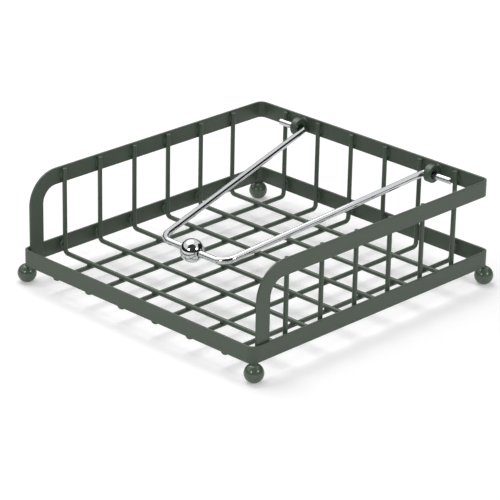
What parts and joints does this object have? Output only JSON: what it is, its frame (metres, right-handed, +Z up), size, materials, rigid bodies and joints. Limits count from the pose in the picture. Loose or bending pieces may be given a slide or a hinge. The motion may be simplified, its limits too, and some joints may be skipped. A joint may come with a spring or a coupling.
{
  "type": "napkin holder",
  "caption": "Open-fronted flat napkin holder of painted strip and wire on ball feet, with a hinged chrome wire arm whose ball weighs the napkins down.",
  "frame": {"origin": "on the table, under the middle of the tray", "axes": "+Z up, -Y towards the open front, +X to the right seen from the front"},
  "size_m": [0.199, 0.2072, 0.0664],
  "materials": {
    "powder_coat": "satin",
    "chrome": "polished"
  },
  "bodies": {
    "frame": {"base_ring": "powder_coat", "top_rail": "powder_coat", "foot_front_left": "powder_coat", "foot_front_right": "powder_coat", "foot_back_left": "powder_coat", "foot_back_right": "powder_coat", "floor_wire_1": "powder_coat", "floor_wire_2": "powder_coat", "floor_wire_3": "powder_coat", "floor_wire_4": "powder_coat", "floor_wire_5": "powder_coat", "floor_wire_6": "powder_coat", "side_wire_1": "powder_coat", "side_wire_2": "powder_coat", "side_wire_3": "powder_coat", "side_wire_4": "powder_coat", "side_wire_5": "powder_coat", "side_wire_6": "powder_coat", "floor_wire_1_front": "powder_coat", "floor_wire_1_back": "powder_coat", "floor_wire_2_front": "powder_coat", "floor_wire_2_back": "powder_coat", "floor_wire_3_front": "powder_coat", "floor_wire_3_back": "powder_coat", "floor_wire_4_front": "powder_coat", "floor_wire_4_back": "powder_coat", "floor_wire_5_front": "powder_coat", "floor_wire_5_back": "powder_coat", "floor_wire_6_front": "powder_coat", "floor_wire_6_back": "powder_coat", "side_wire_1_left": "powder_coat", "side_wire_1_right": "powder_coat", "side_wire_2_left": "powder_coat", "side_wire_2_right": "powder_coat", "side_wire_3_left": "powder_coat", "side_wire_3_right": "powder_coat", "side_wire_4_left": "powder_coat", "side_wire_4_right": "powder_coat", "side_wire_5_left": "powder_coat", "side_wire_5_right": "powder_coat", "side_wire_6_left": "powder_coat", "side_wire_6_right": "powder_coat", "eyelet_left": "powder_coat", "eyelet_right": "powder_coat"},
    "arm": {"arm_wire": "chrome", "arm_ball": "chrome"}
  },
  "joints": [
    {"name": "arm_swing", "type": "hinge", "parent": "frame", "child": "arm", "pos_m": [0, 0.09195, 0.0601], "axis": [-1, 0, 0], "range_deg": [-7.7, 124]}
  ]
}
